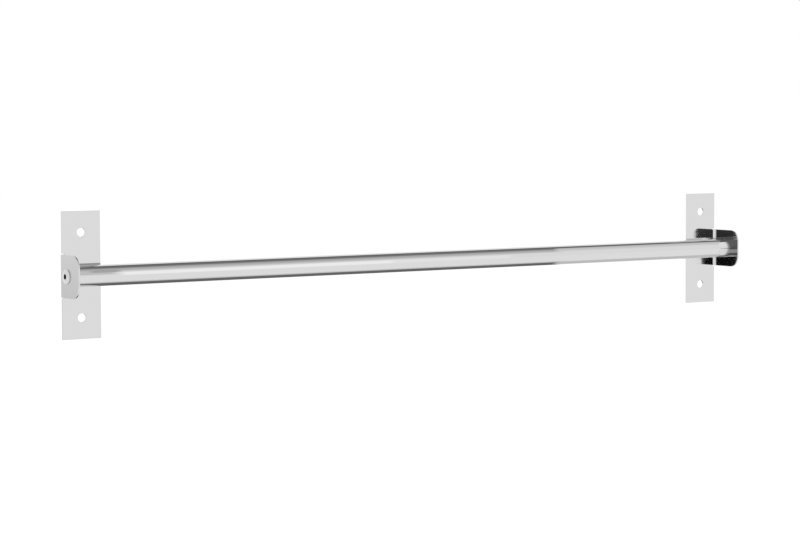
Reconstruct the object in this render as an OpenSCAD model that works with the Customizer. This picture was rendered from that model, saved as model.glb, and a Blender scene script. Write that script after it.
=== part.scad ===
// Wall-mounted clothes rail: a round tube held by its ends between two brackets.
// Each bracket is one flat plate with a tab folded forward at its outer edge.
// The tube fills the space between the tabs. A plug with a captive nut sits in
// each end of the tube, and a low-headed screw through the tab pulls it tight.
// The wall is the plane y = 0 and the object stands out towards -Y. X runs along
// the rail and Z is up. The origin is midway between the brackets at rail height.

/* [Rail] */
// Length over the outer faces of the two tabs
overall_l = 1000; // [300:10:1600]
// Outside diameter of the tube
tube_d = 25; // [22:0.5:30]
// Wall thickness of the tube
tube_wall = 1.5; // [1:0.1:2]
// Distance from the wall to the middle of the tube
axis_out = 20; // [18:0.5:30]

/* [Bracket sheet] */
// Thickness of the sheet
sheet_t = 2; // [1.5:0.1:3]
// Width of the wall plate
plate_w = 50; // [40:1:80]
// Height of the wall plate
plate_h = 150; // [125:1:220]
// Inside radius of the fold
fold_r = 3; // [2:0.5:3.5]
// Height of the gap cut beside the fold so that the sheet can bend cleanly
relief_h = 1.2; // [0.8:0.1:3]
// How far the gap runs into the plate past the start of the fold
relief_in = 0.8; // [0.4:0.1:2]

/* [Tab] */
// Height of the tab
tab_h = 50; // [38:1:60]
// Distance from the wall to the tab's front edge
tab_out = 50; // [45:1:70]
// Radius of the tab's two front corners
tab_r = 15; // [4:0.5:18]
// How far the tab's outer face stands past the plate's outer edge
tab_past = 2.5; // [1:0.5:4]

/* [Wall holes] */
// Diameter of the two screw holes in each plate
wall_hole_d = 10.5; // [5:0.5:12]
// Distance between the two holes of a plate
wall_hole_gap = 100; // [80:1:110]

/* [End screw] */
// Diameter of the screw's shank
screw_d = 8; // [6:0.5:9]
// Length of the shank under the head
screw_l = 27; // [25:1:34]
// Bevel at the tip of the shank
screw_tip = 1; // [0.5:0.25:1.5]
// Diameter of the low head
head_d = 17.5; // [15:0.5:20]
// Full height of the low head
head_h = 3; // [2.5:0.25:4]
// Height of the head's straight rim below its dome
head_rim = 1.4; // [0.8:0.1:2]
// Width across flats of the hexagon socket
socket_af = 6; // [4:0.5:6]
// Depth of the hexagon socket
socket_l = 4; // [2.5:0.25:5]

/* [End plug] */
// Length of the plug
plug_l = 28; // [25:1:36]
// Length of the smooth collar at the plug's outer end
collar_l = 4; // [2:0.5:6]
// Number of barbed rings behind the collar
barb_n = 4; // [2:1:4]
// Distance from one ring to the next
barb_step = 5; // [4:0.25:5]
// Length of a ring's slope
barb_l = 2.5; // [1.5:0.25:3.5]
// Height of a ring above the plug's core
barb_h = 1.2; // [0.6:0.1:1.4]
// Bevel at the plug's inner end
nose = 1; // [0.5:0.1:1.5]

/* [Captive nut] */
// Width across flats of the nut
nut_af = 13; // [10:0.5:13]
// Thickness of the nut
nut_h = 6.5; // [5:0.5:7]
// Depth that the nut lies in from the plug's inner end
nut_in = 1; // [0.5:0.25:2]

/* [Fits] */
// Gap left between faces that bear on each other
face_gap = 0.1; // [0.05:0.05:0.2]
// Play of the screw in the tab and the plug, on the diameter
screw_play = 0.5; // [0.3:0.1:0.8]
// Play of the screw in the nut, on the diameter
thread_play = 0.2; // [0.1:0.05:0.3]
// Play of the plug's rings in the tube, on the diameter
ring_play = 0.2; // [0.1:0.05:0.4]
// Play of the nut in its pocket, across the flats
nut_play = 0.3; // [0.2:0.05:0.5]

/* [Hidden] */
$fn = 96;
eps = 1;
chrome = [0.82, 0.83, 0.84];
zinc = [0.7, 0.71, 0.72];
nylon = [0.12, 0.12, 0.13];

// Places along X on the right-hand end
tab_face = overall_l / 2;
tab_in = tab_face - sheet_t;
plate_edge = tab_face - tab_past;
fold_x = tab_in - fold_r;
hole_x = plate_edge - plate_w / 2;
plug_x = tab_in - face_gap;

// Sizes that follow from the fits
tube_l = 2 * (tab_in - face_gap);
bore_d = tube_d - 2 * tube_wall;
ring_d = bore_d - ring_play;
core_d = ring_d - 2 * barb_h;
screw_hole_d = screw_d + screw_play;
pocket_af = nut_af + nut_play;
pocket_l = nut_h + nut_in + face_gap;
fold_y = sheet_t + fold_r;

// Distance across corners of a hexagon, from its distance across flats
function corners(across_flats) = across_flats / cos(30);

// What is drawn for the right-hand end, or its mirror image for the left
module on_end(side) {
    if (side > 0) children();
    else mirror([1, 0, 0]) children();
}

// Stands a shape that is drawn upright on the rail's axis, pointing outwards
module point_out(x) {
    translate([x, -axis_out, 0]) rotate([0, 90, 0]) children();
}

// The same, pointing in towards the middle of the rail
module point_in(x) {
    translate([x, -axis_out, 0]) rotate([0, -90, 0]) children();
}

// The flat plate, with its wall holes and the space that the fold takes
module wall_plate() {
    difference() {
        translate([plate_edge - plate_w, -sheet_t, -plate_h / 2]) cube([plate_w, sheet_t, plate_h]);
        for (up = [-1, 1]) {
            translate([hole_x, eps, up * wall_hole_gap / 2])
                rotate([90, 0, 0]) cylinder(h = sheet_t + 2 * eps, d = wall_hole_d);
            translate([fold_x - relief_in, -sheet_t - eps, up * (tab_h + relief_h) / 2 - relief_h / 2])
                cube([tab_past + fold_r + sheet_t, sheet_t + 2 * eps, relief_h]);
        }
        translate([fold_x, -sheet_t - eps, -tab_h / 2])
            cube([sheet_t + fold_r + eps, sheet_t + 2 * eps, tab_h]);
    }
}

// The quarter ring of sheet that turns the plate into the tab
module fold() {
    translate([fold_x, -fold_y, -tab_h / 2])
        linear_extrude(tab_h)
            intersection() {
                difference() {
                    circle(r = fold_r + sheet_t);
                    circle(r = fold_r);
                }
                square(fold_r + sheet_t);
            }
}

// Outline of the tab, seen along the rail: straight at the fold, round at the front
module tab_outline() {
    translate([-(tab_out - tab_r), -tab_h / 2]) square([tab_out - tab_r - fold_y, tab_h]);
    translate([-tab_out, -(tab_h / 2 - tab_r)]) square([tab_r, tab_h - 2 * tab_r]);
    for (up = [-1, 1])
        translate([-(tab_out - tab_r), up * (tab_h / 2 - tab_r)]) circle(r = tab_r);
}

// The tab that closes the end of the tube, with the hole for its screw
module tab() {
    difference() {
        translate([tab_in, 0, 0]) rotate([90, 0, 90]) linear_extrude(sheet_t) tab_outline();
        point_out(tab_in - eps) cylinder(h = sheet_t + 2 * eps, d = screw_hole_d);
    }
}

module bracket() {
    color(chrome) union() {
        wall_plate();
        fold();
        tab();
    }
}

// Half of the plug's section: a collar, then barbed rings that slope towards the
// inner end, so that the plug pushes in easily and grips when it is pulled
module plug_section() {
    rings = [for (i = [0:barb_n - 1]) collar_l + (i + 1) * barb_step - barb_l];
    polygon(concat(
        [[0, 0], [ring_d / 2, 0], [ring_d / 2, collar_l], [core_d / 2, collar_l]],
        [for (h = rings) each [[core_d / 2, h], [ring_d / 2, h], [core_d / 2, h + barb_l]]],
        [[core_d / 2, plug_l - nose], [core_d / 2 - nose, plug_l], [0, plug_l]]
    ));
}

module end_plug() {
    color(nylon) point_in(plug_x) difference() {
        rotate_extrude() plug_section();
        translate([0, 0, -eps]) cylinder(h = plug_l + 2 * eps, d = screw_hole_d);
        translate([0, 0, plug_l - pocket_l])
            cylinder(h = pocket_l + eps, d = corners(pocket_af), $fn = 6);
    }
}

// A hexagon nut, its corners turned away by a cone on both faces
module captive_nut() {
    bevel_d = corners(nut_af) + nut_h / tan(30);
    color(zinc) point_in(plug_x - plug_l + pocket_l - face_gap) difference() {
        intersection() {
            cylinder(h = nut_h, d = corners(nut_af), $fn = 6);
            cylinder(h = nut_h, d1 = nut_af, d2 = bevel_d);
            cylinder(h = nut_h, d1 = bevel_d, d2 = nut_af);
        }
        translate([0, 0, -eps]) cylinder(h = nut_h + 2 * eps, d = screw_d + thread_play);
    }
}

// Low round head with a shallow dome over a straight rim
module screw_head() {
    rise = head_h - head_rim;
    dome_r = (pow(head_d / 2, 2) + pow(rise, 2)) / (2 * rise);
    intersection() {
        cylinder(h = head_h, d = head_d);
        translate([0, 0, head_h - dome_r]) sphere(r = dome_r);
    }
}

module end_screw() {
    color(chrome) point_out(tab_face + face_gap) difference() {
        union() {
            screw_head();
            translate([0, 0, -screw_l + screw_tip]) cylinder(h = screw_l - screw_tip, d = screw_d);
            translate([0, 0, -screw_l])
                cylinder(h = screw_tip, d1 = screw_d - 2 * screw_tip, d2 = screw_d);
        }
        translate([0, 0, head_h - socket_l])
            cylinder(h = socket_l + eps, d = corners(socket_af), $fn = 6);
    }
}

module left_bracket() on_end(-1) bracket();
module right_bracket() on_end(1) bracket();
module left_end_plug() on_end(-1) end_plug();
module right_end_plug() on_end(1) end_plug();
module left_captive_nut() on_end(-1) captive_nut();
module right_captive_nut() on_end(1) captive_nut();
module left_end_screw() on_end(-1) end_screw();
module right_end_screw() on_end(1) end_screw();

module rail_tube() {
    color(chrome) point_out(-tube_l / 2) difference() {
        cylinder(h = tube_l, d = tube_d);
        translate([0, 0, -eps]) cylinder(h = tube_l + 2 * eps, d = bore_d);
    }
}

left_bracket();
right_bracket();
rail_tube();
left_end_plug();
right_end_plug();
left_captive_nut();
right_captive_nut();
left_end_screw();
right_end_screw();
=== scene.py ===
# %% [markdown]
# # A chromed clothes rail
# This lesson dresses a wall-mounted clothes rail. The rail is a round steel tube held by its ends
# between two folded steel brackets. Nearly all of the steel that shows is bright chromium plate, so
# the lesson is mostly about two things: very clean meshes, because a mirror shows every dent in
# them, and a studio that gives the mirror something to reflect.

# %% Load the fixed frame
import math

import bmesh
import bpy
from mathutils import Matrix, Vector


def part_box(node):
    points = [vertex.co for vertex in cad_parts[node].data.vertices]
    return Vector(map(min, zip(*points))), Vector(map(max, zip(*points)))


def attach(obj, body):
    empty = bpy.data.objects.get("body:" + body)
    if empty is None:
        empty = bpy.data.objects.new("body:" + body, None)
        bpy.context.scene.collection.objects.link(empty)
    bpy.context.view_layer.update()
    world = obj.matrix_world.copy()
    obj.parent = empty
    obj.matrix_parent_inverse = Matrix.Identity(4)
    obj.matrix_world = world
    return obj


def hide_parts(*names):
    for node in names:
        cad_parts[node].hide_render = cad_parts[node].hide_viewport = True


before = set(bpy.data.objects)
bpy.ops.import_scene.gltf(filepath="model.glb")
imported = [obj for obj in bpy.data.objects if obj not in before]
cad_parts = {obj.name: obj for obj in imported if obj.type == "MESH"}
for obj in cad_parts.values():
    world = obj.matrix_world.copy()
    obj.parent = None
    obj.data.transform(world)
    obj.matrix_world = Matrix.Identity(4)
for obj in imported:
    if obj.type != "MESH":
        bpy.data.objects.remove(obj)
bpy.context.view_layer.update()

MM = 0.001

# %% [markdown]
# ## Sizes
# The mesh code works in millimetres and turns them to metres at the very end. The big sizes are
# read from the loaded parts, so that the pieces here can't drift away from them. Sizes that a box
# can't give, such as the sheet's thickness, repeat the part's own. Those of the finish, such as how
# far an edge is rounded, are chosen here, in the cells that use them.

# %% Sizes of the rail
def box_mm(node):
    """Lowest and highest corner of a loaded part, in millimetres."""
    return [[value / MM for value in corner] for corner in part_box(node)]


tube_low, tube_high = box_mm("rail_tube")
plate_low, plate_high = box_mm("right_bracket")
head_low, head_high = box_mm("right_end_screw")
plug_low, plug_high = box_mm("right_end_plug")
nut_low, nut_high = box_mm("right_captive_nut")

TUBE_D = tube_high[2] - tube_low[2]
TUBE_HALF = tube_high[0]
TUBE_WALL = 1.5
AXIS_Y = (tube_low[1] + tube_high[1]) / 2
SHEET_T = 2.0
TAB_FACE = plate_high[0]
TAB_OUT = -plate_low[1]
TAB_H = 50.0
TAB_R = 15.0
TAB_PAST = 2.5
PLATE_W = TAB_FACE - TAB_PAST - plate_low[0]
PLATE_H = plate_high[2] - plate_low[2]
FOLD_R = 3.0
RELIEF_H = 1.2
RELIEF_IN = 0.8
WALL_HOLE_D = 10.5
WALL_HOLE_GAP = 100.0
FACE_GAP = 0.1
SCREW_HOLE_D = 8.5
print(f"tube {TUBE_D:.1f} x {2 * TUBE_HALF:.1f} mm, plate {PLATE_W:.1f} x {PLATE_H:.1f} mm")

# %% [markdown]
# ## The camera
# The photograph was taken from the left of the rail and a little above it, with a long lens. The
# angles below come from matching the plates' corners, the wall holes and the ends of the tube.
# The lens is given as a focal length in pixels of the 800 pixel wide picture, which Blender needs
# as millimetres on a 36 mm sensor. There is no lens shift.

# %% Camera
PICTURE_W = 800
SENSOR_W = 36.0
CLIP_END_M = 100.0
FOCAL_PX = 2477.1
CAMERA_MM = Vector((-1762.5, -2613.1, 190.0))
YAW = math.radians(33.635)
PITCH = math.radians(3.604)
ROLL = math.radians(-0.21)


def camera_axes(yaw, pitch, roll):
    """The camera's right, up and forward directions. Yaw turns from +Y towards +X."""
    forward = Vector((math.sin(yaw) * math.cos(pitch), math.cos(yaw) * math.cos(pitch), -math.sin(pitch)))
    level = Vector((math.cos(yaw), -math.sin(yaw), 0))
    above = level.cross(forward)
    right = level * math.cos(roll) + above * math.sin(roll)
    up = above * math.cos(roll) - level * math.sin(roll)
    return right, up, forward


def add_camera():
    right, up, forward = camera_axes(YAW, PITCH, ROLL)
    data = bpy.data.cameras.new("camera")
    data.sensor_width = SENSOR_W
    data.lens = FOCAL_PX * SENSOR_W / PICTURE_W
    data.clip_end = CLIP_END_M
    camera = bpy.data.objects.new("camera", data)
    bpy.context.scene.collection.objects.link(camera)
    turn = Matrix((right, up, -forward)).transposed().to_4x4()
    camera.matrix_world = Matrix.Translation(CAMERA_MM * MM) @ turn
    bpy.context.scene.camera = camera
    return camera


camera = add_camera()
print(f"lens {camera.data.lens:.1f} mm")

# %% [markdown]
# ## Two helpers for node trees
# A colour is written as the hex value a paint program shows, and one function turns it to the
# linear value that Blender works in. One more function adds a node with its settings, its input
# values and its links, which keeps each material short enough to read.

# %% Colour and node helpers
def linear(hex_colour):
    """An sRGB hex colour such as #d8dadb as linear red, green, blue and alpha."""
    shares = [int(hex_colour[at:at + 2], 16) / 255 for at in (1, 3, 5)]
    return tuple(s / 12.92 if s <= 0.04045 else ((s + 0.055) / 1.055) ** 2.4 for s in shares) + (1.0,)


def add_node(tree, kind, links=None, values=None, **settings):
    """Add one node to a tree, with its settings, the values of its inputs and what they link to."""
    node = tree.nodes.new(kind)
    for name, value in settings.items():
        setattr(node, name, value)
    for name, value in (values or {}).items():
        node.inputs[name].default_value = value
    for name, socket in (links or {}).items():
        tree.links.new(socket, node.inputs[name])
    return node


print("mid grey #808080 is", round(linear("#808080")[0], 3), "in linear light")

# %% [markdown]
# ## The studio
# Chrome has hardly any colour of its own. What makes it read as chrome is the room: a white studio
# with grey and black cards, whose mirror images become the dark lines along the tube. World and
# floor are white where the camera or a mirror sees them, and dimmer for the light that falls on
# matt surfaces. The floor takes part of its white from the lamp, so that it keeps a shadow.

# %% World
WHITE = (1.0, 1.0, 1.0, 1.0)
SEEN_WHITE = 1.0
WORLD_FILL = 0.35


def seen_directly(tree, strength):
    """The strength for camera, mirror and see-through rays, and 0 for rays that light matt surfaces."""
    path = add_node(tree, "ShaderNodeLightPath")
    either = add_node(tree, "ShaderNodeMath", operation="MAXIMUM",
                      links={0: path.outputs["Is Camera Ray"], 1: path.outputs["Is Glossy Ray"]})
    seen = add_node(tree, "ShaderNodeMath", operation="MAXIMUM",
                    links={0: either.outputs[0], 1: path.outputs["Is Transmission Ray"]})
    return add_node(tree, "ShaderNodeMath", operation="MULTIPLY", values={1: strength},
                    links={0: seen.outputs[0]}).outputs[0]


def make_world():
    world = bpy.data.worlds.new("white studio")
    world.use_nodes = True
    tree = world.node_tree
    tree.nodes.clear()
    fill = add_node(tree, "ShaderNodeBackground", values={"Color": WHITE, "Strength": WORLD_FILL})
    white = add_node(tree, "ShaderNodeBackground", values={"Color": WHITE, "Strength": SEEN_WHITE})
    mix = add_node(tree, "ShaderNodeMixShader",
                   links={0: seen_directly(tree, 1.0), 1: fill.outputs[0], 2: white.outputs[0]})
    add_node(tree, "ShaderNodeOutputWorld", links={"Surface": mix.outputs[0]})
    bpy.context.scene.world = world


make_world()
bpy.context.scene.view_settings.view_transform = "Standard"
print("world made:", SEEN_WHITE, "where it is seen and", WORLD_FILL, "on matt surfaces")

# %% Floor and lamp
FLOOR_COLOUR = "#e8e8e8"
FLOOR_OWN_SHARE = 0.42
FLOOR_OWN_WHITE = 1.4
FLOOR_Z = -1050.0
FLOOR_HALF = 30000.0
KEY_STRENGTH = 2.2
KEY_SPREAD_DEG = 40
KEY_TILT_DEG = (28, -12, 0)


def floor_material():
    """Pale floor that keeps a soft shadow: part of its white is lit by the lamp, part is its own."""
    material = bpy.data.materials.new("pale studio floor")
    material.use_nodes = True
    tree = material.node_tree
    tree.nodes.clear()
    lit = add_node(tree, "ShaderNodeBsdfDiffuse", values={"Color": linear(FLOOR_COLOUR)})
    own = add_node(tree, "ShaderNodeEmission", values={"Color": WHITE},
                   links={"Strength": seen_directly(tree, FLOOR_OWN_WHITE)})
    share = add_node(tree, "ShaderNodeMixShader", values={0: FLOOR_OWN_SHARE},
                     links={1: lit.outputs[0], 2: own.outputs[0]})
    add_node(tree, "ShaderNodeOutputMaterial", links={"Surface": share.outputs[0]})
    return material


def add_floor():
    corners = [(-FLOOR_HALF, -FLOOR_HALF), (FLOOR_HALF, -FLOOR_HALF),
               (FLOOR_HALF, FLOOR_HALF), (-FLOOR_HALF, FLOOR_HALF)]
    mesh = bpy.data.meshes.new("floor")
    mesh.from_pydata([Vector((x, y, FLOOR_Z)) * MM for x, y in corners], [], [(0, 1, 2, 3)])
    mesh.materials.append(floor_material())
    floor = bpy.data.objects.new("floor", mesh)
    bpy.context.scene.collection.objects.link(floor)


def add_sun(name, strength, spread_deg, tilt_deg):
    """A very soft sun. Mirrors don't see it, because their room is made of cards."""
    data = bpy.data.lights.new(name, "SUN")
    data.energy = strength
    data.angle = math.radians(spread_deg)
    lamp = bpy.data.objects.new(name, data)
    bpy.context.scene.collection.objects.link(lamp)
    lamp.rotation_euler = [math.radians(angle) for angle in tilt_deg]
    lamp.visible_glossy = False


add_floor()
add_sun("soft key", KEY_STRENGTH, KEY_SPREAD_DEG, KEY_TILT_DEG)
print("floor", -FLOOR_Z, "mm below the rail")

# %% [markdown]
# ## Cards in a round light tent
# Photographers put polished metal in a tent of white cloth and pin strips of card inside it. The
# strips here hang on a cylinder round the rail. Each has a range of angles, measured round the
# rail from straight ahead (0) over the top (90) to the wall (180), a range in millimetres along
# the rail, and a brightness at its first and at its last angle. A straight mirror tube shows each
# strip as a straight line, so a strip's angles decide how high on the tube its line runs. The
# strips have soft edges and only mirror rays see them: nothing here paints the metal itself, and
# other views find the same tent. Where two overlap, the later one hangs nearer and hides the other.

# %% How a card is hung
TENT_R = 1000.0
LAYER_GAP = 0.4
SOFT_DEG = 1.2
SOFT_MM = 14.0
DEG_PER_STEP = 2
FEWEST_STEPS = 2


def card_material():
    """A glow of the stored brightness, 1 for studio white and 0 for black, that fades at the edges."""
    material = bpy.data.materials.new("card in the light tent")
    material.use_nodes = True
    tree = material.node_tree
    tree.nodes.clear()
    bright = add_node(tree, "ShaderNodeAttribute", attribute_name="brightness")
    cover = add_node(tree, "ShaderNodeAttribute", attribute_name="cover")
    clear = add_node(tree, "ShaderNodeBsdfTransparent")
    glow = add_node(tree, "ShaderNodeEmission", values={"Color": WHITE},
                    links={"Strength": bright.outputs["Fac"]})
    mix = add_node(tree, "ShaderNodeMixShader",
                   links={0: cover.outputs["Fac"], 1: clear.outputs[0], 2: glow.outputs[0]})
    add_node(tree, "ShaderNodeOutputMaterial", links={"Surface": mix.outputs[0]})
    return material


tent_card = card_material()


def add_card(name, place, soft_mm, angles, span, brightness, soft_deg=SOFT_DEG):
    """Hang one card. Its brightness runs evenly from its first angle to its last."""
    first, last = angles
    near, far = span
    steps = max(FEWEST_STEPS, round((last - first) / DEG_PER_STEP))
    turns = [(first + (last - first) * at / steps, at / steps, 1.0) for at in range(steps + 1)]
    turns = [(first - soft_deg, 0.0, 0.0)] + turns + [(last + soft_deg, 1.0, 0.0)]
    columns = [(near - soft_mm, 0.0), (near, 1.0), (far, 1.0), (far + soft_mm, 0.0)]
    points, bright, cover = [], [], []
    for angle, share, inside in turns:
        for distance, within in columns:
            points.append(Vector(place(math.radians(angle), distance)) * MM)
            bright.append(brightness[0] + (brightness[1] - brightness[0]) * share)
            cover.append(inside * within)
    wide = len(columns)
    faces = [(row + at, row + at + 1, row + at + 1 + wide, row + at + wide)
             for row in range(0, len(points) - wide, wide) for at in range(wide - 1)]
    mesh = bpy.data.meshes.new(name)
    mesh.from_pydata(points, [], faces)
    mesh.attributes.new("brightness", "FLOAT", "POINT").data.foreach_set("value", bright)
    mesh.attributes.new("cover", "FLOAT", "POINT").data.foreach_set("value", cover)
    mesh.materials.append(tent_card)
    card = bpy.data.objects.new(name, mesh)
    bpy.context.scene.collection.objects.link(card)
    for ray in ("camera", "diffuse", "shadow", "transmission", "volume_scatter"):
        setattr(card, f"visible_{ray}", False)


print("the tent is", 2 * TENT_R, "mm wide")

# %% Strips on the tent's wall
LEFT_END = -760.0
FAR = 2600.0
RIGHT_STRETCH = 958.0
strips = {
    "black strip overhead": ((79, 121), (LEFT_END, FAR), (0.27, 0.13)),
    "black strip below": ((-158, -90), (LEFT_END, RIGHT_STRETCH), (0.17, 0.17)),
    "grey card overhead": ((52, 79), (LEFT_END, RIGHT_STRETCH), (0.68, 0.48)),
    "pale card overhead": ((29, 52), (LEFT_END, RIGHT_STRETCH), (1.06, 0.7)),
    "pale card overhead at the right": ((46, 92), (RIGHT_STRETCH, FAR), (0.95, 0.66)),
    "front softbox": ((-3, 29), (78, 600), (1.22, 1.22)),
    "front softbox, right wing": ((-3, 29), (600, 840), (1.1, 1.1)),
    "grey card left of the softbox": ((12, 52), (-200, 50), (0.74, 0.74)),
    "dark card left of the softbox": ((33, 60), (22, 60), (0.55, 0.5)),
    "grey card below": ((-90, -74), (LEFT_END, RIGHT_STRETCH), (0.6, 0.86)),
    "pale strip below at the right": ((-135, -80), (RIGHT_STRETCH, FAR), (0.62, 0.76)),
    "pale card behind the left end": ((178, 190), (-1150, -850), (0.98, 0.68)),
}


def on_the_wall(layer):
    """Places on the tent's wall, from an angle round the rail and a distance along it."""
    radius = TENT_R - LAYER_GAP * layer
    return lambda turn, along: (along, AXIS_Y - radius * math.cos(turn), radius * math.sin(turn))


for layer, (name, strip) in enumerate(strips.items()):
    add_card(name, on_the_wall(layer), SOFT_MM, *strip)
print(len(strips), "strips hang", TENT_R, "mm from the rail")

# %% [markdown]
# ## Flags at the camera's side
# The right-hand tab faces the camera's side of the tent, and the photograph shows it almost black,
# with the tube's end bright against it. A photographer gets that with flags: cards on stands that
# hang across the tent. These stand square to the rail, close behind one another, and their spans
# run outwards from it. So the tab sees their full faces, and a view from the front meets only their
# thin edges. From the right-hand front the tube shows them as a short dark and white mark. Their
# inner and outer edges are crisp. Two narrow black cloths give the darkest parts of the tab and of
# its mirror image in the plate, and a last number makes their other two edges crisp as well.

# %% Flags across the tent
FLAG_X = -200.0
FLAG_IN = 779.0
FLAG_SPLIT = 813.0
FLAG_OUT = 841.0
WING_IN = 741.0
CLOTH_IN = 726.0
UPPER_CLOTH_OUT = 839.0
LOWER_CLOTH_OUT = 825.0
WHITE_WING_OUT = 862.0
CRISP_MM = 1.5
CRISP_DEG = 0.3
flags = {
    "dark flag": ((-112, 112), (FLAG_IN, FLAG_SPLIT), (0.14, 0.22)),
    "dark flag's wing": ((-8, 74), (WING_IN, FLAG_IN - CRISP_MM), (0.18, 0.2)),
    "grey flag": ((-68, -22), (FLAG_IN, FLAG_SPLIT), (0.5, 0.5)),
    "white flag": ((-104, 80), (FLAG_SPLIT + CRISP_MM, FLAG_OUT), (1.4, 1.6)),
    "white flag's wing": ((-10, 1), (FLAG_OUT - CRISP_MM, WHITE_WING_OUT), (1.5, 1.5)),
    "black cloth above the lens": ((-3.5, -1.6), (CLOTH_IN, UPPER_CLOTH_OUT), (0.035, 0.06), CRISP_DEG),
    "black cloth below the lens": ((-7.4, -5.3), (CLOTH_IN, LOWER_CLOTH_OUT), (0.01, 0.008), CRISP_DEG),
}


def across_the_tent(layer):
    """Places on a flag, from an angle round the rail and a distance out from it."""
    x = FLAG_X + LAYER_GAP * layer
    return lambda turn, out: (x, AXIS_Y - out * math.cos(turn), out * math.sin(turn))


for layer, (name, flag) in enumerate(flags.items()):
    add_card(name, across_the_tent(layer), CRISP_MM, *flag)
print(len(flags), "flags stand across the tent at", FLAG_X, "mm")

# %% [markdown]
# ## Bright chromium plate
# The plates, the tube and the screw heads are steel with a thin polished chromium layer. A metal
# in Blender is Metallic 1 with the colour of its reflection as base colour. Polished plate is
# close to a mirror, so its roughness is low and is varied a little by a fine noise, as where hands
# and hangers have dulled it. The rolled and drawn steel below keeps long, shallow waves of some
# thousandths of a millimetre, which a very weak bump gives, and the last polishing leaves hair
# lines along the piece that only a close look finds.

# %% Chromium plate
HAZE_MM = 6.0
HAIR_LINE_MM = 0.35
HAIR_LINE_STRETCH = 0.01
HAIR_LINE_SHARE = 0.25
HAZE_LEAST = 0.35
HAZE_MOST = 0.95
ROUGHNESS_LEAST = 0.01
ROUGHNESS_MOST = 0.04


def chromium(name, hex_colour, wave_mm, wave_height_mm, stretch=(1, 1, 1), lines_along="X"):
    """Polished chromium plate: a mirror with faint waves of the given length and height."""
    material = bpy.data.materials.new(name)
    material.use_nodes = True
    tree = material.node_tree
    shader = tree.nodes["Principled BSDF"]
    shader.inputs["Base Color"].default_value = linear(hex_colour)
    shader.inputs["Metallic"].default_value = 1.0
    place = add_node(tree, "ShaderNodeTexCoord").outputs["Object"]
    along = add_node(tree, "ShaderNodeMapping", values={"Scale": stretch}, links={0: place})
    wave = add_node(tree, "ShaderNodeTexNoise", values={"Scale": 1 / (wave_mm * MM), "Detail": 1.0},
                    links={"Vector": along.outputs[0]})
    waves = add_node(tree, "ShaderNodeBump", values={"Strength": 1.0, "Distance": wave_height_mm * MM},
                     links={"Height": wave.outputs[0]})
    drawn_out = tuple(HAIR_LINE_STRETCH if axis == lines_along else 1 for axis in "XYZ")
    lengthwise = add_node(tree, "ShaderNodeMapping", values={"Scale": drawn_out}, links={0: place})
    hair = add_node(tree, "ShaderNodeTexNoise", values={"Scale": 1 / (HAIR_LINE_MM * MM), "Detail": 2.0},
                    links={"Vector": lengthwise.outputs[0]})
    haze = add_node(tree, "ShaderNodeTexNoise", values={"Scale": 1 / (HAZE_MM * MM), "Detail": 4.0},
                    links={"Vector": along.outputs[0]})
    both = add_node(tree, "ShaderNodeMath", operation="MULTIPLY_ADD", values={1: HAIR_LINE_SHARE},
                    links={0: hair.outputs[0], 2: haze.outputs[0]})
    dull = add_node(tree, "ShaderNodeMapRange", links={"Value": both.outputs[0]},
                    values={"From Min": HAZE_LEAST, "From Max": HAZE_MOST,
                            "To Min": ROUGHNESS_LEAST, "To Max": ROUGHNESS_MOST})
    tree.links.new(dull.outputs[0], shader.inputs["Roughness"])
    tree.links.new(waves.outputs[0], shader.inputs["Normal"])
    return material


plate_chrome = chromium("bright chromium plate on sheet", "#d7d7d7",
                        wave_mm=30, wave_height_mm=0.005, lines_along="Z")
tube_chrome = chromium("bright chromium plate on drawn tube", "#d7d7d7",
                       wave_mm=26, wave_height_mm=0.006, stretch=(0.12, 1, 1))
screw_chrome = chromium("bright chromium plate on turned screw", "#d3d3d4",
                        wave_mm=5, wave_height_mm=0.002)
print("chromium materials made")

# %% [markdown]
# ## Steel in the socket, nylon and zinc
# Plating hardly reaches the bottom of a narrow socket, so the steel there is dull, as it came from
# the punch, and its dark colour is painted shade that stands in for the shadow deep in the socket.
# The plugs are black nylon, as it leaves the mould: dull, with the fine grain of the spark-cut tool.
# The nuts are zinc plated, a bluish silver that is half dulled and cloudy.
# The Mix node has sockets of the same names for several kinds of value, so its colour sockets go
# by number.

# %% Socket steel, nylon and zinc
MIX_COLOUR_A = 6
MIX_COLOUR_B = 7
MIX_COLOUR_RESULT = 2
GRAIN_STRENGTH = 0.6
NYLON_IOR = 1.53


def clouded(name, dark, pale, cloud_mm, roughness, metallic, grain_mm=None, grain_height_mm=0.0):
    """A finish whose colour and gloss drift between two values, with a grain if it has one."""
    material = bpy.data.materials.new(name)
    material.use_nodes = True
    tree = material.node_tree
    shader = tree.nodes["Principled BSDF"]
    shader.inputs["Metallic"].default_value = metallic
    place = add_node(tree, "ShaderNodeTexCoord").outputs["Object"]
    cloud = add_node(tree, "ShaderNodeTexNoise", values={"Scale": 1 / (cloud_mm * MM), "Detail": 4.0},
                     links={"Vector": place})
    shade = add_node(tree, "ShaderNodeMix", data_type="RGBA", links={0: cloud.outputs[0]},
                     values={MIX_COLOUR_A: linear(dark), MIX_COLOUR_B: linear(pale)})
    dull = add_node(tree, "ShaderNodeMapRange", links={"Value": cloud.outputs[0]},
                    values={"To Min": roughness[0], "To Max": roughness[1]})
    tree.links.new(shade.outputs[MIX_COLOUR_RESULT], shader.inputs["Base Color"])
    tree.links.new(dull.outputs[0], shader.inputs["Roughness"])
    if grain_mm:
        grain = add_node(tree, "ShaderNodeTexNoise", values={"Scale": 1 / (grain_mm * MM), "Detail": 3.0},
                         links={"Vector": place})
        bump = add_node(tree, "ShaderNodeBump", links={"Height": grain.outputs[0]},
                        values={"Strength": GRAIN_STRENGTH, "Distance": grain_height_mm * MM})
        tree.links.new(bump.outputs[0], shader.inputs["Normal"])
    return material


# The socket's dark colour is dull steel and also painted shade, for the shadow deep in the socket.
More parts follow.
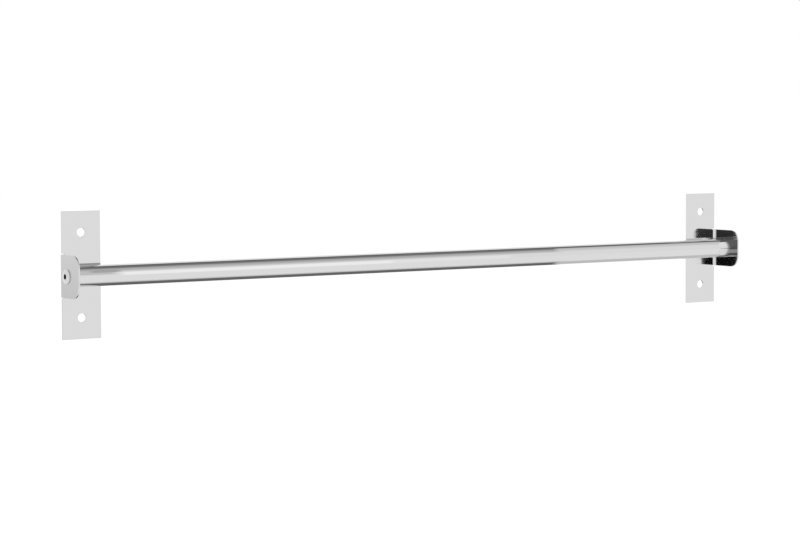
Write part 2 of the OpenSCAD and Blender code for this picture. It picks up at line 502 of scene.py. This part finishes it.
socket_steel_and_painted_shade = clouded("dull steel with painted shade in the socket", "#26272a", "#3c3d40",
                       cloud_mm=1.5, roughness=(0.45, 0.7), metallic=1.0)
black_nylon = clouded("moulded black nylon", "#1b1b1d", "#27272a", cloud_mm=9.0, roughness=(0.42, 0.6),
                      metallic=0.0, grain_mm=0.6, grain_height_mm=0.02)
black_nylon.node_tree.nodes["Principled BSDF"].inputs["IOR"].default_value = NYLON_IOR
zinc = clouded("bright zinc plate", "#b9bec4", "#cfd3d6",
               cloud_mm=2.5, roughness=(0.22, 0.42), metallic=1.0)
print("socket steel, nylon and zinc made")

# %% Finish a piece
SHARP_DEG = 28


def finish_mesh(bm, name, materials, node):
    """Turn a bmesh in millimetres into a finished piece at the origin that stands for a CAD node."""
    bmesh.ops.recalc_face_normals(bm, faces=bm.faces)
    for face in bm.faces:
        face.smooth = True
    for edge in bm.edges:
        if len(edge.link_faces) == 2 and edge.calc_face_angle() > math.radians(SHARP_DEG):
            edge.smooth = False
    bmesh.ops.scale(bm, vec=(MM, MM, MM), verts=bm.verts)
    mesh = bpy.data.meshes.new(name)
    bm.to_mesh(mesh)
    open_edges = sum(1 for edge in bm.edges if len(edge.link_faces) != 2)
    bm.free()
    for material in materials:
        mesh.materials.append(material)
    piece = bpy.data.objects.new(name, mesh)
    bpy.context.scene.collection.objects.link(piece)
    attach(piece, "root")
    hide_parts(node)
    print(f"{name}: {len(mesh.polygons)} faces, {open_edges} open edges")


print("edges sharper than", SHARP_DEG, "degrees will stay crisp")

# %% [markdown]
# ## A small kit for Geometry Nodes
# What repeats or follows a rule is grown by Geometry Nodes: the tube's wall swept round its axis,
# the row of barbed rings on each plug and the screw thread. Each tree has named sizes, so a learner
# can change a number and see the piece follow. The result is turned to a plain mesh at once,
# because the exported model can't carry a modifier. Trees are built about Z, which is where
# Blender's circle and spiral lie, and the finished mesh is then laid along the rail.

# %% Geometry Nodes kit
def new_tree(name, sizes, counts):
    """A Geometry Nodes tree with an input for each size and count, and one for the material."""
    tree = bpy.data.node_groups.new(name, "GeometryNodeTree")
    for size in sizes:
        tree.interface.new_socket(size, in_out="INPUT", socket_type="NodeSocketFloat")
    for count in counts:
        tree.interface.new_socket(count, in_out="INPUT", socket_type="NodeSocketInt")
    tree.interface.new_socket("Material", in_out="INPUT", socket_type="NodeSocketMaterial")
    tree.interface.new_socket("Mesh", in_out="OUTPUT", socket_type="NodeSocketGeometry")
    return tree, add_node(tree, "NodeGroupInput").outputs


def close_tree(tree, given, shape):
    """End a tree: copies become real geometry, and everything gets the material."""
    real = add_node(tree, "GeometryNodeRealizeInstances", links={"Geometry": shape})
    painted = add_node(tree, "GeometryNodeSetMaterial",
                       links={"Geometry": real.outputs[0], "Material": given["Material"]})
    add_node(tree, "NodeGroupOutput", links={"Mesh": painted.outputs[0]})
    return tree


def grow(tree, values):
    """Run a tree with the given sizes and return its result as a bmesh."""
    holder = bpy.data.objects.new(tree.name, bpy.data.meshes.new(tree.name))
    bpy.context.scene.collection.objects.link(holder)
    modifier = holder.modifiers.new("grow", "NODES")
    modifier.node_group = tree
    for socket in tree.interface.items_tree:
        if socket.in_out == "INPUT":
            modifier[socket.identifier] = values[socket.name]
    grown = holder.evaluated_get(bpy.context.evaluated_depsgraph_get())
    result = bpy.data.meshes.new_from_object(grown)
    holder.modifiers.remove(modifier)
    bpy.data.objects.remove(holder)
    bm = bmesh.new()
    bm.from_mesh(result)
    bpy.data.meshes.remove(result)
    return bm


def lay_along_rail(bm, start, side):
    """Turn a shape that stands on Z to point out of the rail's end. It is turned, never mirrored."""
    for vert in bm.verts:
        x, y, z = vert.co
        vert.co = (side * (start + z), AXIS_Y + y, -side * x)


def join(bm, extra):
    """Add a second bmesh to the first, as one piece."""
    mesh = bpy.data.meshes.new("extra")
    extra.to_mesh(mesh)
    extra.free()
    bm.from_mesh(mesh)
    bpy.data.meshes.remove(mesh)


print("Geometry Nodes kit made")

# %% [markdown]
# ## The tube
# The real tube is rolled and welded strip, drawn to size, cut off, deburred and plated. Its wall
# is a long thin rectangle with rounded ends, swept once round the axis: Curve to Mesh with a circle
# as the path. That gives a closed wall with an inside, and two deburred rims. A row of edges is then
# added just behind each rim, so that the rim's smooth shading can't creep along a face a metre long
# and bend every reflection in it.

# %% Rail tube
TUBE_SEGMENTS = 192
RIM_R = 0.3
RIM_STEPS = 4
HOLD = 0.05
CUT_MERGE_MM = 0.001


def tube_tree():
    """A rectangle with rounded corners swept round Z."""
    tree, given = new_tree("tube wall", sizes=["Middle Radius", "Wall", "Length", "Rim Radius"],
                           counts=["Segments", "Rim Steps"])
    path = add_node(tree, "GeometryNodeCurvePrimitiveCircle",
                    links={"Resolution": given["Segments"], "Radius": given["Middle Radius"]})
    section = add_node(tree, "GeometryNodeCurvePrimitiveQuadrilateral",
                       links={"Width": given["Wall"], "Height": given["Length"]})
    rounded = add_node(tree, "GeometryNodeFilletCurve", mode="POLY",
                       links={"Curve": section.outputs[0], "Radius": given["Rim Radius"],
                              "Count": given["Rim Steps"]})
    wall = add_node(tree, "GeometryNodeCurveToMesh",
                    links={"Curve": path.outputs[0], "Profile Curve": rounded.outputs[0]})
    return close_tree(tree, given, wall.outputs[0])


def divide_at(bm, x):
    """Add a row of edges where a plane square to the rail meets the mesh. The shape stays."""
    bmesh.ops.bisect_plane(bm, geom=bm.verts[:] + bm.edges[:] + bm.faces[:], dist=CUT_MERGE_MM,
                           plane_co=(x, 0, 0), plane_no=(1, 0, 0))


def tube_mesh():
    """The wall, laid along the rail, with a row of edges just behind each rim."""
    bm = grow(tube_tree(), {"Middle Radius": (TUBE_D - TUBE_WALL) / 2, "Wall": TUBE_WALL,
                            "Length": 2 * TUBE_HALF, "Rim Radius": RIM_R, "Segments": TUBE_SEGMENTS,
                            "Rim Steps": RIM_STEPS, "Material": tube_chrome})
    lay_along_rail(bm, 0, 1)
    for end in (-1, 1):
        divide_at(bm, end * (TUBE_HALF - RIM_R - HOLD))
    return bm


finish_mesh(tube_mesh(), "rail_tube_skin", [tube_chrome], "rail_tube")

# %% [markdown]
# ## The brackets
# A bracket starts as a flat blank, punched from steel sheet with its two wall holes, its screw
# hole and two small reliefs, and is then folded once. The mesh is made the same way. An outline
# in flat coordinates is filled, its edges get the small rounding that tumbling and polishing
# leave, and every point is then carried round the fold. A boolean or a bevel on the folded shape
# would leave untidy faces that show in a mirror.

# %% Flat blank
EDGE_R = 0.3
EDGE_STEPS = 4
FOLD_STEPS = 24
CORNER_STEPS = 24
ROUND_STEPS = 96
FOLD_X = TAB_FACE - SHEET_T - FOLD_R
FOLD_Y = SHEET_T + FOLD_R
FOLD_MIDDLE_R = FOLD_R + SHEET_T / 2
FOLD_END = FOLD_X + math.pi / 2 * FOLD_MIDDLE_R
BLANK_END = FOLD_END + TAB_OUT - FOLD_Y
HOLE_X = TAB_FACE - TAB_PAST - PLATE_W / 2


def fold_stations():
    """Places along the blank where the fold bends it, and one close outside each end of the fold."""
    inside = [FOLD_X + (FOLD_END - FOLD_X) * step / FOLD_STEPS for step in range(FOLD_STEPS + 1)]
    return [FOLD_X - HOLD] + inside + [FOLD_END + HOLD]


def arc(centre, radius, start_deg, end_deg, steps):
    """Points on an arc, both ends included."""
    turns = [math.radians(start_deg + (end_deg - start_deg) * step / steps) for step in range(steps + 1)]
    return [(centre[0] + radius * math.cos(turn), centre[1] + radius * math.sin(turn)) for turn in turns]


def blank_outline():
    """The blank's edge, anticlockwise, with the folded stretch divided at the fold stations."""
    edge_x, low_x = TAB_FACE - TAB_PAST, TAB_FACE - TAB_PAST - PLATE_W
    half_h, half_tab = PLATE_H / 2, TAB_H / 2
    slit_x, slit_z = FOLD_X - RELIEF_IN, half_tab + RELIEF_H
    upper = [(low_x, half_h), (edge_x, half_h), (edge_x, slit_z), (slit_x, slit_z), (slit_x, half_tab)]
    upper += [(x, half_tab) for x in fold_stations()]
    upper += arc((BLANK_END - TAB_R, half_tab - TAB_R), TAB_R, 90, 0, CORNER_STEPS)
    lower = [(x, -z) for x, z in upper]
    return lower + upper[::-1]


def hole_outline(x, z, diameter):
    """A round hole, clockwise, so that its solid side is on the left as it is on the outer edge."""
    return [(x + diameter / 2 * math.cos(turn), z - diameter / 2 * math.sin(turn))
            for turn in (2 * math.pi * step / ROUND_STEPS for step in range(ROUND_STEPS))]


SCREW_HOLE_X = FOLD_END + (-AXIS_Y - FOLD_Y)
blank_loops = [blank_outline(),
               hole_outline(HOLE_X, WALL_HOLE_GAP / 2, WALL_HOLE_D),
               hole_outline(HOLE_X, -WALL_HOLE_GAP / 2, WALL_HOLE_D),
               hole_outline(SCREW_HOLE_X, 0, SCREW_HOLE_D)]
print("blank from", round(blank_loops[0][0][0], 1), "to", round(BLANK_END, 1), "mm along the sheet")


# %% Round the blank's edges
def inset(loop, distance):
    """Move a closed outline to its left by a distance, with mitred corners."""
    moved = []
    for at, here in enumerate(loop):
        before = Vector(here) - Vector(loop[at - 1])
        after = Vector(loop[(at + 1) % len(loop)]) - Vector(here)
        left = [Vector((-side.y, side.x)).normalized() for side in (before, after)]
        mitre = (left[0] + left[1]) / (1 + left[0].dot(left[1]))
        moved.append(tuple(Vector(here) + mitre * distance))
    return moved


def edge_profile():
    """Inset and depth of each row round the sheet's edge, from the back face to the front face."""
    back = [(EDGE_R * (1 - math.sin(turn)), EDGE_R * (1 - math.cos(turn)))
            for turn in (math.pi / 2 * step / EDGE_STEPS for step in range(EDGE_STEPS + 1))]
    return back + [(distance, SHEET_T - depth) for distance, depth in reversed(back)]


print("the sheet's edge has", len(edge_profile()) - 1, "strips of faces")


# %% Fold the blank
def folded(x, z, depth, side):
    """Where a point of the blank goes. Depth is measured from the face that meets the wall."""
    if x <= FOLD_X or abs(z) > TAB_H / 2 + RELIEF_H / 2:
        place = (x, -depth)
    elif x <= FOLD_END:
        turn = (x - FOLD_X) / FOLD_MIDDLE_R
        radius = FOLD_R + SHEET_T - depth
        place = (FOLD_X + radius * math.sin(turn), -FOLD_Y + radius * math.cos(turn))
    else:
        place = (TAB_FACE - depth, -FOLD_Y - (x - FOLD_END))
    return Vector((side * place[0], place[1], z))


def bracket_mesh(side):
    """The blank as a solid with rounded edges, divided at the fold and then folded."""
    bm = bmesh.new()
    caps = {}
    for loop in blank_loops:
        rows = [[bm.verts.new((x, depth, z)) for x, z in inset(loop, distance)]
                for distance, depth in edge_profile()]
        for first, second in zip(rows, rows[1:]):
            for at in range(len(loop)):
                nxt = (at + 1) % len(loop)
                bm.faces.new((first[at], first[nxt], second[nxt], second[at]))
        for which, row in (("back", rows[0]), ("front", rows[-1])):
            caps.setdefault(which, []).extend(
                bm.edges.get((row[at], row[(at + 1) % len(row)])) for at in range(len(row)))
    for edges in caps.values():
        bmesh.ops.triangle_fill(bm, edges=edges, use_beauty=True, use_dissolve=False)
        for edge in edges:
            edge.smooth = False
    for station in fold_stations():
        divide_at(bm, station)
    for vert in bm.verts:
        vert.co = folded(vert.co.x, vert.co.z, vert.co.y, side)
    return bm


for side, name in ((-1, "left_bracket"), (1, "right_bracket")):
    finish_mesh(bracket_mesh(side), f"{name}_skin", [plate_chrome], name)

# %% [markdown]
# ## Shapes round the axis
# The plugs, the nuts and the screws are round and six-sided shapes on the rail's axis. A function
# sweeps a list of rows round it, as on a lathe. A row has a size and a place along the axis, and it
# is round, a hexagon, or a hexagon whose corners are cut away at a given radius, so that a hexagon
# socket, a pocket or a nut flows into round faces without a boolean.

# %% The lathe
SIXTH_TURN = math.radians(60)


def row_radius(kind, size, angle):
    """Distance from the axis at an angle. A round row's size is its radius, a hexagon's is its width
    across flats, and a cut hexagon's is that width and the radius that cuts its corners."""
    if kind == "round":
        return size
    flats, limit = size if kind == "cut hexagon" else (size, math.inf)
    return min(flats / 2 / math.cos(angle % SIXTH_TURN - SIXTH_TURN / 2), limit)


def lathe(rows, to_world, closed=False):
    """Sweep rows of (kind, size, along) round the axis. A size of 0 closes the end in one point."""
    bm = bmesh.new()
    rings = []
    for kind, size, along in rows:
        count = 1 if size == 0 else ROUND_STEPS
        angles = [2 * math.pi * step / ROUND_STEPS for step in range(count)]
        rings.append([bm.verts.new(to_world(row_radius(kind, size, angle), angle, along))
                      for angle in angles])
    for first, second in zip(rings, rings[1:] + rings[:1] * closed):
        for step in range(ROUND_STEPS):
            corners = [first[step % len(first)], first[(step + 1) % len(first)],
                       second[(step + 1) % len(second)], second[step % len(second)]]
            bm.faces.new(list(dict.fromkeys(corners)))
    return bm


def on_axis(start, side, inward=False):
    """Place a swept shape on the rail's axis. Along runs out of the rail, or in towards its middle."""
    way = -1 if inward else 1

    def to_world(radius, angle, along):
        return (side * (start + way * along), AXIS_Y + radius * math.sin(angle), radius * math.cos(angle))
    return to_world


def rounded(rows):
    """Name a list of (radius, along) points as round rows."""
    return [("round", radius, along) for radius, along in rows]


print("the lathe turns in", ROUND_STEPS, "steps")

# %% [markdown]
# ## The end screws
# Each tab carries a low-headed screw with a hexagon socket, the kind used in furniture. The head
# is turned with a flat underside, a short rim and a shallow dome, and the socket is pressed in
# with a small lead-in. Head and core are one lathe sweep in which round rows change to hexagon
# rows. The thread is a ridge that follows a helix: a spiral curve with a diamond section, half of
# it sunk in the core, which tapers off over most of its first and last turn as a cut thread does.
# Both screws have the same right-hand thread, so the left one is turned round and not mirrored.

# %% Screw heads and cores
SCREW_X = TAB_FACE + FACE_GAP
HEAD_D = head_high[2] - head_low[2]
HEAD_H = 3.0
HEAD_RIM = 1.4
HEAD_EDGE_R = 0.35
HEAD_EDGE_DEG = 75
HEAD_EDGE_STEPS = 5
DOME_STEPS = 14
UNDER_R = 0.2
UNDER_STEPS = 3
SOCKET_AF = 6.0
SOCKET_L = 4.0
SOCKET_POINT = 0.9
LEAD_IN = 0.25
THREAD_D = 8.0
THREAD_PITCH = 1.25
THREAD_DEPTH = 0.65
SCREW_L = SCREW_X - head_low[0]
SCREW_TIP = 1.0
TIP_TAPER = 0.7
SOCKET_TOP_R = row_radius("hexagon", SOCKET_AF, 0) + LEAD_IN


def dome_along(radius):
    """Height of the head's dome at a radius."""
    rise = HEAD_H - HEAD_RIM
    dome_r = ((HEAD_D / 2) ** 2 + rise ** 2) / (2 * rise)
    return HEAD_H - dome_r + math.sqrt(dome_r ** 2 - radius ** 2)


def screw_rows():
    """From the bottom of the socket, out over the dome, down the rim and along the core."""
    head_r, core_r = HEAD_D / 2, THREAD_D / 2 - THREAD_DEPTH
    socket = [("round", 0, HEAD_H - SOCKET_L - SOCKET_POINT), ("hexagon", SOCKET_AF, HEAD_H - SOCKET_L),
              ("hexagon", SOCKET_AF, dome_along(SOCKET_TOP_R) - LEAD_IN)]
    edge_r = head_r - HEAD_EDGE_R
    dome = [(r, dome_along(r)) for r in (SOCKET_TOP_R + (edge_r - SOCKET_TOP_R) * step / DOME_STEPS
                                         for step in range(DOME_STEPS + 1))]
    rim = arc((edge_r, dome_along(edge_r) - HEAD_EDGE_R), HEAD_EDGE_R, HEAD_EDGE_DEG, 0, HEAD_EDGE_STEPS)
    under = arc((head_r - UNDER_R, UNDER_R), UNDER_R, 0, -90, UNDER_STEPS)
    core = [(core_r, 0), (core_r, -SCREW_L + SCREW_TIP), (core_r - SCREW_TIP * TIP_TAPER, -SCREW_L)]
    return socket + rounded(dome + rim + under + core) + [("round", 0, -SCREW_L)]


print(f"head {HEAD_D:.1f} x {HEAD_H:.1f} mm, socket {SOCKET_AF:.0f} mm across flats, {SCREW_L:.0f} mm long")


# %% Screw thread
THREAD_START = 3.0
THREAD_END = 1.2
TURN_STEPS = 40
TAPER_TURNS = 0.8
TAPER_LEAST = 0.05
MIDDLE = 0.5
DIAMOND_CORNERS = 4
FLANK_SCALE = (1.0, 0.92, 1.0)
SAME_MM = 0.01


def thread_tree():
    """A diamond section that climbs round Z, tapered at both ends."""
    tree, given = new_tree("screw thread", counts=["Turn Steps"],
                           sizes=["Core Radius", "Depth", "Pitch", "Length", "Start", "Taper Turns"])
    turns = add_node(tree, "ShaderNodeMath", operation="DIVIDE",
                     links={0: given["Length"], 1: given["Pitch"]})
    helix = add_node(tree, "GeometryNodeCurveSpiral", values={"Reverse": True},
                     links={"Resolution": given["Turn Steps"], "Rotations": turns.outputs[0],
                            "Start Radius": given["Core Radius"], "End Radius": given["Core Radius"],
                            "Height": given["Length"]})
    upright = add_node(tree, "GeometryNodeSetCurveNormal", mode="Z_UP", links={"Curve": helix.outputs[0]})
    diamond = add_node(tree, "GeometryNodeCurvePrimitiveCircle", values={"Resolution": DIAMOND_CORNERS},
                       links={"Radius": given["Depth"]})
    flanks = add_node(tree, "GeometryNodeTransform", values={"Scale": FLANK_SCALE},
                      links={"Geometry": diamond.outputs[0]})
    way = add_node(tree, "GeometryNodeSplineParameter")
    to_end = add_node(tree, "ShaderNodeMath", operation="PINGPONG", values={1: MIDDLE},
                      links={0: way.outputs["Factor"]})
    turns_to_end = add_node(tree, "ShaderNodeMath", operation="MULTIPLY",
                            links={0: to_end.outputs[0], 1: turns.outputs[0]})
    taper = add_node(tree, "ShaderNodeMapRange", values={"To Min": TAPER_LEAST, "To Max": 1.0},
                     links={"Value": turns_to_end.outputs[0], "From Max": given["Taper Turns"]})
    ridge = add_node(tree, "GeometryNodeCurveToMesh", values={"Fill Caps": True},
                     links={"Curve": upright.outputs[0], "Profile Curve": flanks.outputs[0],
                            "Scale": taper.outputs[0]})
    lift = add_node(tree, "ShaderNodeCombineXYZ", links={"Z": given["Start"]})
    placed = add_node(tree, "GeometryNodeTransform",
                      links={"Geometry": ridge.outputs[0], "Translation": lift.outputs[0]})
    return close_tree(tree, given, placed.outputs[0])


def darken_socket(screw, side):
    """Give the faces inside the socket the screw's second material, whose dark colour is painted shade."""
    bottom = HEAD_H - SOCKET_L - SOCKET_POINT
    for face in screw.faces:
        reach = max(Vector((vert.co.y - AXIS_Y, vert.co.z)).length for vert in face.verts)
        lowest = min(side * vert.co.x for vert in face.verts) - SCREW_X
        face.material_index = int(reach < SOCKET_TOP_R - SAME_MM and lowest > bottom - SAME_MM)


thread = thread_tree()
for side, name in ((-1, "left_end_screw"), (1, "right_end_screw")):
    screw = lathe(screw_rows(), on_axis(SCREW_X, side))
    darken_socket(screw, side)
    ridge = grow(thread, {"Core Radius": THREAD_D / 2 - THREAD_DEPTH, "Depth": THREAD_DEPTH,
                          "Pitch": THREAD_PITCH, "Length": SCREW_L - THREAD_START - THREAD_END,
                          "Start": THREAD_END - SCREW_L, "Turn Steps": TURN_STEPS,
                          "Taper Turns": TAPER_TURNS, "Material": screw_chrome})
    lay_along_rail(ridge, SCREW_X, side)
    join(screw, ridge)
    finish_mesh(screw, f"{name}_skin", [screw_chrome, socket_steel_and_painted_shade], name)

# %% [markdown]
# ## The end plugs
# The photograph can't show what holds the screws. Rails of this build have a barbed nylon plug
# driven into each end of the tube, with a nut lying in a hexagon pocket at its inner end. The body
# is a lathe sweep that goes out along the collar and core and comes back through the pocket and
# the bore. The barbed rings repeat at an even step, so Geometry Nodes sweep one ring and put a
# copy on each point of a line.

# %% Plug bodies
PLUG_X = plug_high[0]
PLUG_L = PLUG_X - plug_low[0]
RING_R = (plug_high[2] - plug_low[2]) / 2
BARB_N = 4
BARB_STEP = 5.0
BARB_L = 2.5
BARB_H = 1.2
BARB_TIP_L = 0.2
BARB_SUNK = 0.4
CORE_R = RING_R - BARB_H
COLLAR_L = 4.0
MOULD_R = 0.4
MOULD_STEPS = 4
NOSE = 1.0
BORE_R = SCREW_HOLE_D / 2
POCKET_AF = 13.3
POCKET_L = 7.6


def plug_rows():
    """Round the plug's wall, from the outer end of the bore and back."""
    outside = [(BORE_R + MOULD_R, 0)]
    outside += arc((RING_R - MOULD_R, MOULD_R), MOULD_R, -90, 0, MOULD_STEPS)
    outside += arc((RING_R - MOULD_R, COLLAR_L - MOULD_R), MOULD_R, 0, 90, MOULD_STEPS)
    outside += [(CORE_R, COLLAR_L), (CORE_R, PLUG_L - NOSE), (CORE_R - NOSE, PLUG_L)]
    pocket = [("hexagon", POCKET_AF, PLUG_L), ("hexagon", POCKET_AF, PLUG_L - POCKET_L)]
    return rounded(outside) + pocket + rounded([(BORE_R, PLUG_L - POCKET_L), (BORE_R, MOULD_R)])


print(f"plug {2 * RING_R:.1f} x {PLUG_L:.0f} mm with a pocket {POCKET_AF} mm across flats")


# %% Barbed rings
def barb_tree():
    """One ring with a sloped and a steep side, repeated along Z."""
    tree, given = new_tree("barbed rings", counts=["Count", "Segments"],
                           sizes=["Inner Radius", "Height", "Slope Length", "Tip Length", "Step", "Start"])
    path = add_node(tree, "GeometryNodeCurvePrimitiveCircle",
                    links={"Resolution": given["Segments"], "Radius": given["Inner Radius"]})
    low = add_node(tree, "ShaderNodeCombineXYZ", links={"Y": given["Slope Length"]})
    steep = add_node(tree, "ShaderNodeCombineXYZ", links={"X": given["Height"]})
    tip = add_node(tree, "ShaderNodeCombineXYZ", links={"X": given["Height"], "Y": given["Tip Length"]})
    section = add_node(tree, "GeometryNodeCurvePrimitiveQuadrilateral", mode="POINTS",
                       values={"Point 1": (0.0, 0.0, 0.0)},
                       links={"Point 2": steep.outputs[0], "Point 3": tip.outputs[0],
                              "Point 4": low.outputs[0]})
    ring = add_node(tree, "GeometryNodeCurveToMesh",
                    links={"Curve": path.outputs[0], "Profile Curve": section.outputs[0]})
    start = add_node(tree, "ShaderNodeCombineXYZ", links={"Z": given["Start"]})
    back = add_node(tree, "ShaderNodeMath", operation="MULTIPLY", values={1: -1.0},
                    links={0: given["Step"]})
    step = add_node(tree, "ShaderNodeCombineXYZ", links={"Z": back.outputs[0]})
    places = add_node(tree, "GeometryNodeMeshLine",
                      links={"Count": given["Count"], "Start Location": start.outputs[0],
                             "Offset": step.outputs[0]})
    rings = add_node(tree, "GeometryNodeInstanceOnPoints",
                     links={"Points": places.outputs[0], "Instance": ring.outputs[0]})
    return close_tree(tree, given, rings.outputs[0])


barbs = barb_tree()
for side, name in ((-1, "left_end_plug"), (1, "right_end_plug")):
    plug = lathe(plug_rows(), on_axis(PLUG_X, side, inward=True), closed=True)
    rings = grow(barbs, {"Inner Radius": CORE_R - BARB_SUNK, "Height": BARB_H + BARB_SUNK,
                         "Slope Length": BARB_L, "Tip Length": BARB_TIP_L, "Count": BARB_N,
                         "Step": BARB_STEP, "Start": BARB_L - COLLAR_L - BARB_STEP,
                         "Segments": ROUND_STEPS, "Material": black_nylon})
    lay_along_rail(rings, PLUG_X, side)
    join(plug, rings)
    finish_mesh(plug, f"{name}_skin", [black_nylon], name)

# %% [markdown]
# ## The captive nuts
# A nut is a slice of hexagon bar whose corners are turned away by a cone on both faces. In the
# lathe that is the smaller of two radii, the hexagon's and the cone's, in a few rows close to each
# face. The bore has a small bevel at both ends, where a thread starts.

# %% Nuts
NUT_AF = 13.0
NUT_X = nut_high[0]
NUT_H = NUT_X - nut_low[0]
NUT_BORE_R = 4.1
NUT_BEVEL = 0.5
CONE_RISE = 1.02
CONE_L = 1.0
CONE_STEPS = 5


def nut_rows():
    """Up one face's cone, across the flats, down the other cone and back through the bore."""
    rises = [CONE_L * step / CONE_STEPS for step in range(CONE_STEPS + 1)]
    first = [("cut hexagon", (NUT_AF, NUT_AF / 2 + rise * CONE_RISE), rise) for rise in rises]
    second = [(kind, size, NUT_H - along) for kind, size, along in reversed(first)]
    bore = [(NUT_BORE_R + NUT_BEVEL, NUT_H), (NUT_BORE_R, NUT_H - NUT_BEVEL),
            (NUT_BORE_R, NUT_BEVEL), (NUT_BORE_R + NUT_BEVEL, 0)]
    return first + second + rounded(bore)


for side, name in ((-1, "left_captive_nut"), (1, "right_captive_nut")):
    nut = lathe(nut_rows(), on_axis(NUT_X, side, inward=True), closed=True)
    finish_mesh(nut, f"{name}_skin", [zinc], name)
